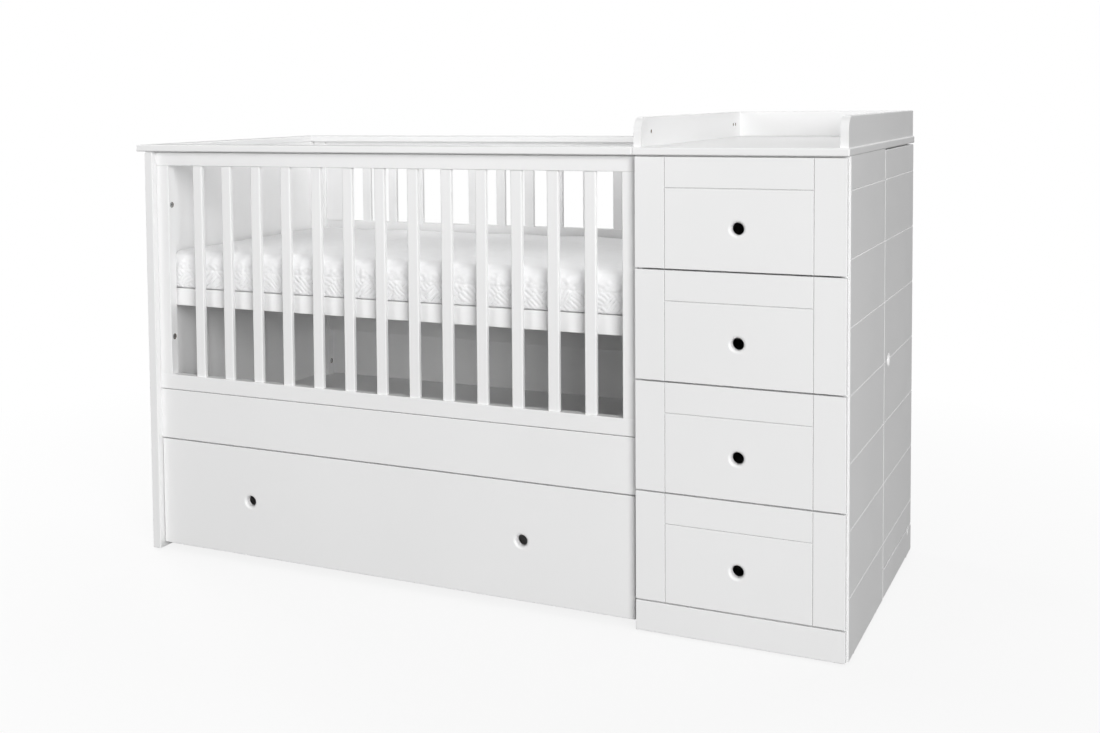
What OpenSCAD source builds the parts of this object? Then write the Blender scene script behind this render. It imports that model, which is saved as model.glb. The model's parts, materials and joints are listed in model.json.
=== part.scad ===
// Crib with an attached changer: a cot with a slatted front and back, a large
// drawer under the bed, and a four-drawer cabinet that carries a changing tray.
// Millimetres. +X to the right, +Y to the back, +Z up. The origin is under the
// middle of the whole piece, on the floor.

/* [Crib] */
// Inside length of the sleeping space, from the end panel to the cabinet
inner_l = 1224; // [1180:4:1280]
// Depth of the end panel and the cabinet, front to back
depth = 790; // [740:5:850]
// Height of the upright boards, under the cap boards
body_h = 984; // [940:2:1030]
// Thickness of the left end panel
panel_t = 22; // [18:1:26]
// Thickness of the other boards
board_t = 16; // [14:1:19]
// Thickness of the cap boards and the cabinet's top
cap_t = 16; // [14:1:22]
// Width of the front and back cap boards
cap_w = 60; // [50:1:70]
// Width of the left cap board
cap_left_w = 44; // [40:1:55]
// How far the caps stand out in front and behind
cap_over = 5; // [2:1:8]
// How far the caps stand out past the end panel
cap_over_left = 21; // [12:1:26]
// Rounding of the visible board edges
edge_r = 1.5; // [0.5:0.5:3]
// Rounding of the edges of the cap boards and the cabinet's top
cap_r = 3; // [1:0.5:5]
// Height of the shadow groove under the front cap
cap_groove_h = 3; // [1:0.5:5]
// Depth of that groove
cap_groove_in = 5; // [2:1:10]

/* [Slatted frames] */
// Thickness of the rails and stiles, front to back
frame_t = 26; // [22:1:30]
// Width of the left front stile
stile_left_w = 36; // [30:1:42]
// Width of the right front stile
stile_right_w = 28; // [24:1:34]
// Height of the front bottom rail's underside
rail_z = 399; // [380:1:420]
// Height of the front bottom rail
rail_h = 36.5; // [30:0.5:44]
// Height of the top rails
top_rail_h = 35; // [30:1:44]
// Width of a slat
slat_w = 26; // [22:1:32]
// Thickness of a slat
slat_t = 12; // [10:1:16]
// Distance from slat to slat
slat_pitch = 83.7; // [78:0.1:90]
// Open space between the right front stile and its nearest slat
slat_end_gap = 59; // [50:1:65]
// How far the front slats sit behind the front rail's face
slat_recess = 4; // [2:1:8]
// Rounding of a slat's long edges
slat_r = 2.5; // [1:0.5:4]

/* [Back of the crib] */
// Size of the square back post
post_w = 38; // [34:1:44]
// Space behind the back post, up to the end panel's back edge
post_inset = 1; // [0:1:6]
// Width of the left back stile
back_stile_left_w = 59; // [50:1:70]
// Width of the right back stile
back_stile_right_w = 64; // [55:1:75]
// Height of the solid back panel's top edge
back_panel_top = 756; // [730:1:780]
// Height of the seam between the back panel and the lower back board
back_seam_z = 434; // [420:1:450]
// Width of that seam
seam = 1.5; // [1:0.5:3]
// Joint between the dust shelf and the lower back board
shelf_joint = 1; // [0.5:0.5:3]
// Thickness of the lower back board
low_board_t = 8; // [5:1:10]

/* [Under the bed] */
// Height of the apron board's underside
apron_z = 276.5; // [260:0.5:290]
// Width of the joint between the apron board and the bottom rail
apron_joint = 1.5; // [0.5:0.5:3]
// Height of the dust shelf's top face
shelf_z = 303; // [298:1:320]
// Clearance under the large drawer's front
bed_front_z = 13; // [8:1:20]
// Gap at each side of the large drawer's front
bed_side_gap = 2.5; // [2:0.5:6]
// Height of the large drawer's sides
bed_box_h = 180; // [140:5:200]
// Length of the large drawer's sides
bed_box_l = 640; // [560:10:680]
// Length of the large drawer's slides
bed_slide_l = 600; // [500:10:640]
// Distance between the large drawer's two finger holes
bed_hole_span = 704; // [600:4:800]
// Height of those finger holes
bed_hole_z = 145; // [120:1:180]
// Height of the large drawer's box above the lower edge of its front
bed_box_rise = 15; // [12:1:30]
// Thickness of the large drawer's bottom
bed_bottom_t = 6; // [4:1:10]
// Width of the stiffener under that bottom
bed_rib_w = 60; // [40:5:90]

/* [Mattress and base] */
// Height of the mattress base's top face
base_z = 645; // [600:1:700]
// Height of the base's rails
base_rail_h = 42; // [34:1:50]
// Thickness of the base's rails
base_rail_t = 22; // [18:1:26]
// Clearance of the base to the frames in front and behind
base_gap = 3; // [2:0.5:5]
// Clearance of the base at its two ends
base_end_gap = 1; // [0.5:0.5:2]
// Size of the ledgers under the base slats
ledger = 15; // [12:1:20]
// Distance of the base's bolts from its front and back
base_bolt_in = 120; // [60:5:200]
// Width of a base slat
base_slat_w = 60; // [50:1:70]
// Thickness of a base slat
base_slat_t = 9; // [8:1:12]
// Number of base slats
base_slat_n = 14; // [11:1:15]
// Space at each end of the mattress
mattress_end_gap = 12; // [4:1:20]
// Space in front of the mattress and behind it
mattress_side_gap = 1.5; // [1:0.5:10]
// Mattress thickness
mattress_h = 91; // [70:1:120]
// Rounding of the mattress edges
mattress_r = 18; // [8:1:30]

/* [Cabinet] */
// Width of the cabinet
cab_w = 430; // [400:2:470]
// Thickness of the drawer fronts
front_t = 16; // [14:1:19]
// Part of the carcass left bare at each side of the fronts
front_reveal = 4; // [2:0.5:6]
// Gap between fronts, plinth and top
gap = 3; // [2:0.5:4]
// Height of the plinth
plinth_h = 62.5; // [50:0.5:80]
// Number of drawers
drawer_n = 4; // [4:4]
// Distance from a front's edges to its grooves
groove_inset = 62.5; // [45:0.5:75]
// Width of a groove
groove_w = 3; // [2:0.5:4]
// Depth of a groove
groove_d = 1.5; // [1:0.5:3]
// Distance between the grooves of the planked sides
plank_pitch = 132.5; // [110:0.5:150]
// Distance from the top of a side to its first groove
plank_top = 65.5; // [50:0.5:80]
// Overhang of the top at its right edge
top_over_right = 1; // [0:0.5:4]
// Depth of the fixed front part of the right side, from the carcass front
side_fixed_d = 382.5; // [370:0.5:400]
// Gap between that fixed part and the side door
side_gap = 2.5; // [2:0.5:4]
// Number of shelves in the side cupboard
shelf_n = 2; // [1:1:3]

/* [Finger holes] */
// Bore of a finger hole
hole_d = 25; // [22:1:32]
// Rounding of a finger hole's front edge
hole_r = 6.5; // [3:0.5:8]
// Height of a hole above the lower edge of its drawer front
hole_rise = 85; // [60:1:110]
// Distance of the side door's hole from the door's front edge
door_hole_in = 53.5; // [35:0.5:70]
// Height of the side door's hole
door_hole_z = 520.5; // [480:0.5:560]

/* [Drawer boxes] */
// Thickness of the box sides
box_t = 12; // [10:1:15]
// Height of the box sides
box_h = 165; // [130:5:185]
// Length of the box sides
box_l = 350; // [300:5:360]
// Height of the box above the lower edge of the front
box_rise = 18; // [12:1:30]
// Thickness of a drawer bottom
bottom_t = 3; // [3:0.5:6]
// Height of the bottom's groove above the box edge
bottom_rise = 12; // [8:1:16]
// Depth of the bottom's groove
bottom_in = 6; // [4:0.5:8]

/* [Slides] */
// Space that a slide takes beside a drawer box
slide_gap = 12.7; // [12:0.1:14]
// Height of a slide's fixed member
slide_h = 35; // [30:1:45]
// Thickness of the slide's steel
slide_t = 1.2; // [1:0.1:1.6]
// Length of the small drawers' slides
slide_l = 350; // [300:5:350]
// Running clearance between the two members
slide_run = 0.3; // [0.2:0.05:0.4]
// Height of a slide's middle above the box edge
slide_rise = 50; // [40:1:80]
// How far the moving member stands out of the fixed one, towards the drawer
slide_out = 2.5; // [1.5:0.1:4]
// Distance of a slide's front end from the carcass front
slide_in = 2; // [1:1:6]
// Diameter of the screw holes in the slides
screw_d = 5; // [4:0.5:6]

/* [Changing tray] */
// Height of the tray's boards
tray_h = 61; // [50:1:80]
// Distance from the top's front edge to the tray sides
tray_front = 10; // [4:1:20]
// Radius of the tray sides' front corners
tray_r = 30; // [15:1:45]
// Distance of the left tray side from the top's left edge
tray_in_left = 1; // [0:0.5:6]
// Distance of the right tray side from the top's right edge
tray_in_right = 3.5; // [0:0.5:8]
// Diameter of the small holes inside the tray's sides
tray_hole_d = 8; // [6:0.5:10]
// Depth of those holes
tray_hole_deep = 10; // [6:1:12]
// Distance of the front one from the tray sides' front edge
tray_hole_front = 66; // [40:1:90]
// Distance of the last one from the back board
tray_hole_back = 46; // [30:1:70]
// Distance between the two at the back
tray_hole_pair = 21; // [16:1:32]

/* [Side door hinges] */
// Number of hinges
hinge_n = 2; // [2:1:3]
// Distance from the door's ends to its outer hinges
hinge_in = 110; // [80:5:160]
// Diameter of the hinge cup
cup_d = 35; // [33:1:36]
// Depth of the hinge cup
cup_deep = 11.5; // [10:0.5:12.5]
// Distance of the cup's centre from the door's hinged edge
cup_in = 22; // [20.5:0.5:24]
// Length of the cup's fixing plate
cup_plate_l = 60; // [56:1:66]
// Width of that plate
cup_plate_w = 20; // [16:1:24]
// Distance of the mounting plate from the door
hinge_plate_in = 42; // [34:1:50]
// Length of the mounting plate's wings, up and down
hinge_plate_l = 50; // [40:1:60]
// Width of the hinge arm
arm_w = 12; // [10:1:16]

/* [Small hardware] */
// Height of the plastic glides
glide_h = 4; // [2:0.5:8]
// Diameter of a glide
glide_d = 15; // [12:1:16]
// Distance of the glides from the front and back of their boards
glide_in = 60; // [30:5:100]
// Diameter of a bolt's shank
bolt_d = 6; // [5:0.5:8]
// Diameter of a bolt's head
bolt_head_d = 11; // [10:0.5:13]
// Height of a bolt's head
bolt_head_h = 6; // [4:0.5:8]
// Width of the hexagon in a bolt's head
bolt_key = 5; // [4:0.5:6]
// Diameter of the counterbore round a bolt's head
sink_d = 14; // [14:0.5:18]
// Depth of that counterbore
sink_deep = 7; // [7:0.5:11]
// How far a bolt goes into the board that it holds
bolt_in = 12; // [8:1:14]
// Distance of the upper frame bolt below the top rail
bolt_top_in = 96.5; // [60:0.5:140]
// Distance of the lower frame bolt above the bottom rail
bolt_low_in = 92; // [60:0.5:140]
// Height of the back post's bolt above the dust shelf
post_bolt_rise = 38.5; // [25:0.5:60]
// Diameter of a shelf pin
pin_d = 5; // [4:0.5:6]
// Distance of the shelf pins from the sides of the cupboard
pin_in = 40; // [25:1:80]
// Diameter of the white cover cap
cover_d = 20; // [14:1:24]
// Distance of the cover cap from the plinth's back edge
cover_in = 40; // [25:1:60]
// Distance of the cover cap below the plinth's top edge
cover_drop = 11; // [11:1:20]

/* [Hidden] */

paint = [0.93, 0.93, 0.93];
steel = [0.72, 0.73, 0.74];
raw_board = [0.90, 0.90, 0.88];
cloth = [0.97, 0.97, 0.97];

total_l = cap_over_left + panel_t + inner_l + cab_w + top_over_right;
x_cap = -total_l / 2;                    // left edge of the caps
x_end = x_cap + cap_over_left;           // outer face of the end panel
x_in = x_end + panel_t;                  // inner face of the end panel
x_cab = x_in + inner_l;                  // left face of the cabinet
x_cabr = x_cab + cab_w;                  // right face of the cabinet
x_ci = x_cab + board_t;                  // inside of the cabinet's left side
x_cir = x_cabr - board_t;                // inside of the cabinet's right side
y_f = -depth / 2;                        // face of the drawer fronts and the end panel
y_c = y_f + front_t;                     // front edge of the carcass and the slatted frame
y_b = depth / 2;                         // back edge of the end panel and the cabinet
z_0 = glide_h;                           // underside of the upright boards
z_top = z_0 + body_h;                    // underside of the caps
z_cap = z_top + cap_t;                   // top face of the caps

// Front frame
x_stile_r = x_cab - stile_right_w;
x_stile_l = x_in + stile_left_w;
z_rail = z_0 + rail_z + rail_h;          // top of the bottom rail
z_trail = z_top - top_rail_h;            // underside of the top rails
slat_gap = slat_pitch - slat_w;
front_slat_n = floor((x_stile_r - x_stile_l - slat_end_gap) / slat_pitch);

// Back frame
y_post = y_b - post_inset - post_w;      // front face of the back post
y_mid = y_post + post_w / 2;             // middle plane of the back frame
y_low = y_post + post_w - low_board_t;   // front face of the lower back board
x_post = x_in + post_w;
x_bs_l = x_post + back_stile_left_w;
x_bs_r = x_cab - back_stile_right_w;
back_slat_n = floor((x_bs_r - x_bs_l - slat_gap) / slat_pitch);
back_slat_pitch = (x_bs_r - x_bs_l + slat_w) / (back_slat_n + 1);

// Mattress base
y_base = y_c + frame_t + base_gap;
base_w = y_post - base_gap - y_base;
x_base = x_in + base_end_gap;
base_l = inner_l - 2 * base_end_gap;
mattress_l = inner_l - 2 * mattress_end_gap;
mattress_w = base_w - 2 * mattress_side_gap;
soft_gap = 0.3;                          // between soft or curved faces and their neighbours

// Cabinet
y_div = y_c + side_fixed_d;              // back face of the divider
z_floor = z_0 + plinth_h;                // top face of the cabinet's bottom
front_w = cab_w - 2 * front_reveal;
front_h = (body_h - plinth_h - (drawer_n + 1) * gap) / drawer_n;
x_front = x_cab + front_reveal;
stretcher_w = 70;
back_gap = 2;                            // between the cabinet's back and the side door
pin_x = [x_ci + pin_in, x_cir - back_gap - pin_in];
shelf_gap = 1;                           // round the cupboard's shelves

// Side door
y_door = y_div + side_gap;
door_w = y_b - gap - y_door;
door_z = z_floor + gap;
door_h = z_top - gap - door_z;
y_cup = y_door + door_w - cup_in;
cup_clear = 0.1;
cup_plate = 1;

// Drawer boxes
box_w = x_cir - x_ci - 2 * slide_gap;
bed_box_w = inner_l - 2 * slide_gap;
bed_box_z = z_0 + bed_front_z + bed_box_rise;
bed_front_h = apron_z - gap - bed_front_z;
groove_clear = 0.1;
bed_bottom_z = bed_box_z + bottom_rise;

// Hardware
frame_bolt_y = y_c + frame_t / 2;
frame_bolt_z = [z_trail - bolt_top_in, z_rail + bolt_low_in];
post_bolt_z = z_0 + shelf_z + post_bolt_rise;
base_bolt_z = z_0 + base_z - base_rail_h / 2;
base_bolt_y = [y_base + base_bolt_in, y_base + base_w - base_bolt_in];
pin_l = 16;
cover_rim = 0.9;                         // height of the cover cap above the board
cover_stem = 4;
cover_y = y_b - cover_in;
cover_z = z_0 + plinth_h - cover_drop;
assembly_gap = 0.05;                     // between boards that are screwed together
$fn = 48;

function drawer_z(k) = z_top - gap - front_h - k * (front_h + gap);
function plank_z(k) = z_top - plank_top - k * plank_pitch;
plank_n = floor((body_h - plank_top - plinth_h - plank_pitch / 4) / plank_pitch) + 1;
function hinge_z(k) = door_z + hinge_in + k * (door_h - 2 * hinge_in) / (hinge_n - 1);
function shelf_at(k) = z_floor + (k + 1) * (z_top - z_floor) / (shelf_n + 1);

// ---- Shared shapes ----

// Rectangle with four round corners, from the origin
module round_rect(w, h, r) {
    translate([r, 0]) square([w - 2 * r, h]);
    translate([0, r]) square([w, h - 2 * r]);
    for (x = [r, w - r], y = [r, h - r])
        translate([x, y]) circle(r);
}

// Board with all its edges rounded
module soft_board(s, r = edge_r) {
    intersection() {
        linear_extrude(s[2]) round_rect(s[0], s[1], r);
        translate([0, s[1], 0]) rotate([90, 0, 0]) linear_extrude(s[1]) round_rect(s[0], s[2], r);
        rotate([90, 0, 90]) linear_extrude(s[0]) round_rect(s[1], s[2], r);
    }
}

// Bars with their long edges rounded and square-cut ends
module bar_x(s, r = edge_r) {
    rotate([90, 0, 90]) linear_extrude(s[0]) round_rect(s[1], s[2], r);
}
module bar_y(s, r = edge_r) {
    translate([0, s[1], 0]) rotate([90, 0, 0]) linear_extrude(s[1]) round_rect(s[0], s[2], r);
}
module bar_z(s, r = edge_r) {
    linear_extrude(s[2]) round_rect(s[0], s[1], r);
}

// Triangle of a V groove: its mouth is on y = 0 and it cuts towards +y
module groove_profile() {
    out = 0.5;
    half = groove_w / 2 * (groove_d + out) / groove_d;
    polygon([[-half, -out], [half, -out], [0, groove_d]]);
}
// V grooves cut into a face that looks to -Y, along Z and along X
module groove_up(l) linear_extrude(l) groove_profile();
module groove_across(l) rotate([0, 90, 0]) linear_extrude(l) groove_profile();
// V groove along Y, cut into a face that looks to +X
module groove_side(l) rotate([-90, 0, 0]) rotate([0, 0, 90]) linear_extrude(l) groove_profile();

// Finger hole cutter along +Y: a bore whose mouth at y = 0 is rounded
module finger_cut(t) {
    rotate([-90, 0, 0]) {
        translate([0, 0, -1]) cylinder(d = hole_d, h = t + 2);
        rotate_extrude() difference() {
            translate([0, -1]) square([hole_d / 2 + hole_r, hole_r + 1]);
            translate([hole_d / 2 + hole_r, hole_r]) circle(hole_r);
        }
    }
}

// Grooves of a planked side, along Y on a face that looks to +X
module plank_cuts(x, y, l) {
    for (k = [0 : plank_n - 1])
        translate([x, y, plank_z(k)]) groove_side(l);
}

// Bolt along +X through a board whose face is at the origin: its head sits at
// the bottom of a counterbore, and its shank ends at l
module bolt(l) rotate([0, 90, 0]) {
    translate([0, 0, sink_deep - bolt_head_h]) difference() {
        cylinder(d = bolt_head_d, h = bolt_head_h);
        translate([0, 0, -1]) cylinder(d = bolt_key / cos(30), h = bolt_head_h * 0.6 + 1, $fn = 6);
    }
    translate([0, 0, sink_deep]) cylinder(d = bolt_d, h = l - sink_deep);
}
// Cutters for the counterbored hole and for the plain hole behind it
module bolt_seat(l) rotate([0, 90, 0]) {
    translate([0, 0, -1]) cylinder(d = sink_d, h = sink_deep + 1);
    cylinder(d = bolt_d, h = l);
}
module bolt_hole(l) rotate([0, 90, 0]) cylinder(d = bolt_d, h = l);

// ---- Crib ----

module left_end_panel() color(paint) difference() {
    translate([x_end, y_f, z_0]) soft_board([panel_t, depth, body_h]);
    // Plank grooves on the outer face
    mirror([1, 0, 0]) plank_cuts(-x_end, y_f - 1, depth + 2);
    translate([x_end - 1, y_f, 0]) cap_groove(panel_t + 2);
    for (z = frame_bolt_z)
        translate([x_in - bolt_in, frame_bolt_y, z]) bolt_hole(bolt_in + 1);
    translate([x_in - bolt_in, y_mid, post_bolt_z]) bolt_hole(bolt_in + 1);
    for (y = base_bolt_y)
        translate([x_in - bolt_in, y, base_bolt_z]) bolt_hole(bolt_in + 1);
}
// Shadow groove in the front edge of a board that stands under the front cap
module cap_groove(l)
    translate([0, -1, z_top - cap_groove_h]) cube([l, cap_groove_in + 1, cap_groove_h + 1]);

module front_cap() color(paint)
    translate([x_cap, y_f - cap_over, z_top]) soft_board([x_cab - x_cap, cap_w, cap_t], cap_r);

module left_cap() color(paint)
    translate([x_cap, y_f - cap_over + cap_w, z_top])
        bar_y([cap_left_w, depth + 2 * cap_over - 2 * cap_w, cap_t], cap_r);

module back_cap() color(paint)
    translate([x_cap, y_b + cap_over - cap_w, z_top]) soft_board([x_cab - x_cap, cap_w, cap_t], cap_r);

module front_rails() color(paint) {
    translate([x_in, y_c, z_0 + rail_z]) bar_x([inner_l, frame_t, rail_h]);
    difference() {
        translate([x_in, y_c, z_trail]) bar_x([inner_l, frame_t, top_rail_h]);
        translate([x_in - 1, y_c, 0]) cap_groove(inner_l + 2);
    }
}

module front_stiles() color(paint) {
    difference() {
        translate([x_in, y_c, z_rail]) bar_z([stile_left_w, frame_t, z_trail - z_rail]);
        for (z = frame_bolt_z)
            translate([x_stile_l, frame_bolt_y, z]) mirror([1, 0, 0]) bolt_seat(stile_left_w + 1);
    }
    translate([x_stile_r, y_c, z_rail]) bar_z([stile_right_w, frame_t, z_trail - z_rail]);
}

module front_slats() color(paint)
    for (k = [1 : front_slat_n])
        translate([x_stile_r - slat_end_gap + slat_gap - k * slat_pitch, y_c + slat_recess, z_rail])
            bar_z([slat_w, slat_t, z_trail - z_rail], slat_r);

module front_apron() color(paint)
    translate([x_in, y_c, z_0 + apron_z]) bar_x([inner_l, board_t, rail_z - apron_joint - apron_z]);

module back_top_rail() color(paint)
    translate([x_post, y_mid - frame_t / 2, z_trail]) bar_x([x_cab - x_post, frame_t, top_rail_h]);

module back_post() color(paint) difference() {
    translate([x_in, y_post, z_0 + shelf_z]) bar_z([post_w, post_w, body_h - shelf_z]);
    translate([x_post, y_mid, post_bolt_z]) mirror([1, 0, 0]) bolt_seat(post_w + 1);
}

module back_stiles() color(paint)
    for (s = [[x_post, back_stile_left_w], [x_bs_r, back_stile_right_w]])
        translate([s[0], y_mid - frame_t / 2, z_0 + back_panel_top])
            bar_z([s[1], frame_t, z_trail - z_0 - back_panel_top]);

module back_slats() color(paint)
    for (k = [1 : back_slat_n])
        translate([x_bs_l - slat_w + k * back_slat_pitch, y_mid - slat_t / 2, z_0 + back_panel_top])
            bar_z([slat_w, slat_t, z_trail - z_0 - back_panel_top], slat_r);

module back_panel() color(paint)
    translate([x_post, y_mid - board_t / 2, z_0 + back_seam_z])
        bar_x([x_cab - x_post, board_t, back_panel_top - back_seam_z]);

module lower_back_board() color(paint)
    translate([x_post, y_low, z_0 + shelf_z + shelf_joint])
        bar_x([x_cab - x_post, low_board_t, back_seam_z - seam - shelf_z - shelf_joint]);

module frame_bolts() color(steel) {
    for (z = frame_bolt_z)
        translate([x_stile_l, frame_bolt_y, z]) mirror([1, 0, 0]) bolt(stile_left_w + bolt_in);
    translate([x_post, y_mid, post_bolt_z]) mirror([1, 0, 0]) bolt(post_w + bolt_in);
}

module dust_shelf() color(paint)
    translate([x_in, y_c + board_t, z_0 + shelf_z - board_t])
        cube([inner_l, y_post + post_w - y_c - board_t, board_t]);

// ---- Mattress and its base ----

module base_frame() color(paint) {
    z = z_0 + base_z - base_rail_h;
    for (y = [y_base, y_base + base_w - base_rail_t])
        translate([x_base, y, z]) bar_x([base_l, base_rail_t, base_rail_h]);
    difference() {
        for (x = [x_base, x_base + base_l - base_rail_t])
            translate([x, y_base + base_rail_t + assembly_gap, z])
                cube([base_rail_t, base_w - 2 * base_rail_t - 2 * assembly_gap, base_rail_h]);
        for (y = base_bolt_y) {
            translate([x_base + base_rail_t, y, base_bolt_z]) mirror([1, 0, 0])
                bolt_seat(base_rail_t + 1);
            translate([x_base + base_l - base_rail_t, y, base_bolt_z]) bolt_seat(base_rail_t + 1);
        }
    }
    // Ledgers that carry the slats, along the front and back rails
    in = base_rail_t + assembly_gap;
    for (y = [y_base + in, y_base + base_w - in - ledger])
        translate([x_base + in, y, z_0 + base_z - base_slat_t - ledger])
            cube([base_l - 2 * in, ledger, ledger]);
}

module base_slats() color(raw_board) {
    span = base_l - 2 * base_rail_t;
    space = (span - base_slat_n * base_slat_w) / (base_slat_n + 1);
    for (k = [0 : base_slat_n - 1])
        translate([x_base + base_rail_t + space + k * (base_slat_w + space),
                y_base + base_rail_t, z_0 + base_z - base_slat_t])
            cube([base_slat_w, base_w - 2 * base_rail_t, base_slat_t]);
}

module base_bolts() color(steel)
    for (y = base_bolt_y) {
        translate([x_base + base_rail_t, y, base_bolt_z]) mirror([1, 0, 0])
            bolt(base_rail_t + base_end_gap + bolt_in);
        translate([x_base + base_l - base_rail_t, y, base_bolt_z])
            bolt(base_rail_t + base_end_gap + bolt_in);
    }

module mattress() color(cloth)
    translate([x_in + (inner_l - mattress_l) / 2, y_base + (base_w - mattress_w) / 2,
            z_0 + base_z + soft_gap])
        soft_board([mattress_l, mattress_w, mattress_h], mattress_r);

// ---- Cabinet ----

module cabinet_left_side() color(paint) difference() {
    translate([x_cab, y_c, z_0]) bar_z([board_t, y_b - y_c, body_h]);
    for (y = base_bolt_y)
        translate([x_cab - 1, y, base_bolt_z]) bolt_hole(bolt_in + 1);
}

module cabinet_right_side() color(paint) difference() {
    translate([x_cir, y_c, z_0]) bar_z([board_t, side_fixed_d, body_h]);
    plank_cuts(x_cabr, y_c - 1, side_fixed_d + 2);
}

module cabinet_plinths() color(paint) {
    translate([x_front, y_f, z_0]) soft_board([front_w, front_t, plinth_h]);
    difference() {
        translate([x_cir, y_door, z_0]) soft_board([board_t, y_b - y_door, plinth_h]);
        translate([x_cabr - cover_stem, cover_y, cover_z]) rotate([0, 90, 0])
            cylinder(d = pin_d, h = cover_stem + 1);
    }
}

module cover_cap() color(paint)
    translate([x_cabr, cover_y, cover_z]) rotate([0, 90, 0]) {
        rotate_extrude() {
            square([cover_d / 2 - cover_rim, cover_rim]);
            translate([cover_d / 2 - cover_rim, 0]) intersection() {
                circle(cover_rim);
                square(cover_rim);
            }
        }
        translate([0, 0, -cover_stem]) cylinder(d = pin_d, h = cover_stem);
    }

module cabinet_top() color(paint)
    translate([x_cab, y_f - cap_over, z_top])
        soft_board([cab_w + top_over_right, depth + 2 * cap_over, cap_t], cap_r);

module cabinet_bottom() color(paint)
    translate([x_ci, y_c, z_floor - board_t]) cube([x_cir - x_ci, y_b - board_t - y_c, board_t]);

module cabinet_divider() color(paint)
    translate([x_ci, y_div - board_t, z_floor]) difference() {
        cube([x_cir - x_ci, board_t, z_top - z_floor]);
        for (x = pin_x, k = [0 : shelf_n - 1])
            translate([x - x_ci, board_t + 1, shelf_at(k) - board_t / 2 - pin_d / 2 - z_floor])
                rotate([90, 0, 0]) cylinder(d = pin_d, h = pin_l / 2 + 1);
    }

module cabinet_back() color(paint) difference() {
    translate([x_ci, y_b - board_t, z_0]) cube([x_cir - back_gap - x_ci, board_t, body_h]);
    for (x = pin_x, k = [0 : shelf_n - 1])
        translate([x, y_b - board_t + pin_l / 2, shelf_at(k) - board_t / 2 - pin_d / 2])
            rotate([90, 0, 0]) cylinder(d = pin_d, h = pin_l / 2 + 1);
}

module cabinet_rails() color(raw_board) {
    for (y = [y_c, y_div - board_t - stretcher_w, y_b - board_t - stretcher_w])
        translate([x_ci, y, z_top - board_t]) cube([x_cir - x_ci, stretcher_w, board_t]);
}

module cupboard_shelves() color(paint)
    for (k = [0 : shelf_n - 1])
        translate([x_ci + shelf_gap, y_div + shelf_gap, shelf_at(k) - board_t / 2])
            soft_board([x_cir - back_gap - x_ci - 2 * shelf_gap,
                y_b - board_t - y_div - 2 * shelf_gap, board_t]);

module shelf_pins() color(steel)
    for (x = pin_x, k = [0 : shelf_n - 1])
        translate([x, 0, shelf_at(k) - board_t / 2 - pin_d / 2]) {
            translate([0, y_div + pin_l / 2, 0]) rotate([90, 0, 0]) cylinder(d = pin_d, h = pin_l);
            translate([0, y_b - board_t + pin_l / 2, 0]) rotate([90, 0, 0])
                cylinder(d = pin_d, h = pin_l);
        }

// ---- Changing tray ----

tray_x_l = x_cab + tray_in_left;
tray_x_r = x_cabr + top_over_right - tray_in_right;
tray_y_b = y_b + cap_over - board_t;
tray_y_f = y_f - cap_over + tray_front;

// Outline of a tray side: length along x, height along y, its front top corner round
module tray_outline(l) {
    square([l, tray_h - tray_r]);
    translate([tray_r, 0]) square([l - tray_r, tray_h]);
    translate([tray_r, tray_h - tray_r]) circle(tray_r, $fn = 96);
}

// One side: its outline, with the two long top edges rounded
module tray_side() {
    l = tray_y_b - tray_y_f;
    intersection() {
        rotate([90, 0, 90]) linear_extrude(board_t) tray_outline(l);
        translate([0, l, 0]) rotate([90, 0, 0]) linear_extrude(l)
            translate([0, -edge_r]) round_rect(board_t, tray_h + edge_r, edge_r);
    }
}

module tray_sides() color(paint) {
    difference() {
        translate([tray_x_l, tray_y_f, z_cap]) tray_side();
        tray_holes(tray_x_l + board_t - tray_hole_deep);
    }
    difference() {
        translate([tray_x_r - board_t, tray_y_f, z_cap]) tray_side();
        tray_holes(tray_x_r - board_t - 1);
    }
}
// Fixing holes inside the tray sides: one near the front, a pair near the back
module tray_holes(x)
    for (y = [tray_y_f + tray_hole_front, tray_y_b - tray_hole_back - tray_hole_pair,
            tray_y_b - tray_hole_back])
        translate([x, y, z_cap + tray_h / 2]) rotate([0, 90, 0])
            cylinder(d = tray_hole_d, h = tray_hole_deep + 1);

module tray_back() color(paint)
    translate([tray_x_l, tray_y_b, z_cap]) soft_board([tray_x_r - tray_x_l, board_t, tray_h]);

// ---- Slides ----

screw_places = [0.1, 0.5, 0.9];          // along a slide, as parts of its length

// Fixed member: a channel whose web lies on x = 0 and opens to +X
module track(l) {
    flange = slide_gap - slide_out;
    difference() {
        translate([0, 0, -slide_h / 2]) cube([flange, l, slide_h]);
        translate([slide_t, -1, -slide_h / 2 + slide_t]) cube([flange, l + 2, slide_h - 2 * slide_t]);
        for (y = l * screw_places)
            translate([-1, y, 0]) rotate([0, 90, 0]) cylinder(d = screw_d, h = slide_t + 2);
    }
}

// Moving member: a channel nested in the fixed one, with its web on x = slide_gap
module runner(l) {
    inner_h = slide_h - 2 * slide_t - 2 * slide_run;
    reach = slide_gap - slide_t - 2 * slide_run;
    difference() {
        translate([slide_gap - reach, 0, -inner_h / 2]) cube([reach, l, inner_h]);
        translate([slide_gap - reach - 1, -1, -inner_h / 2 + slide_t])
            cube([reach + 1 - slide_t, l + 2, inner_h - 2 * slide_t]);
        for (y = l * screw_places)
            translate([slide_gap - slide_t - 1, y, 0]) rotate([0, 90, 0])
                cylinder(d = screw_d, h = slide_t + 2);
    }
}

slide_y = y_c + slide_in;
bed_slide_y = y_c + board_t + slide_in;
function slide_z(k) = drawer_z(k) + box_rise + slide_rise;
bed_slide_z = bed_box_z + slide_rise;

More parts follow.
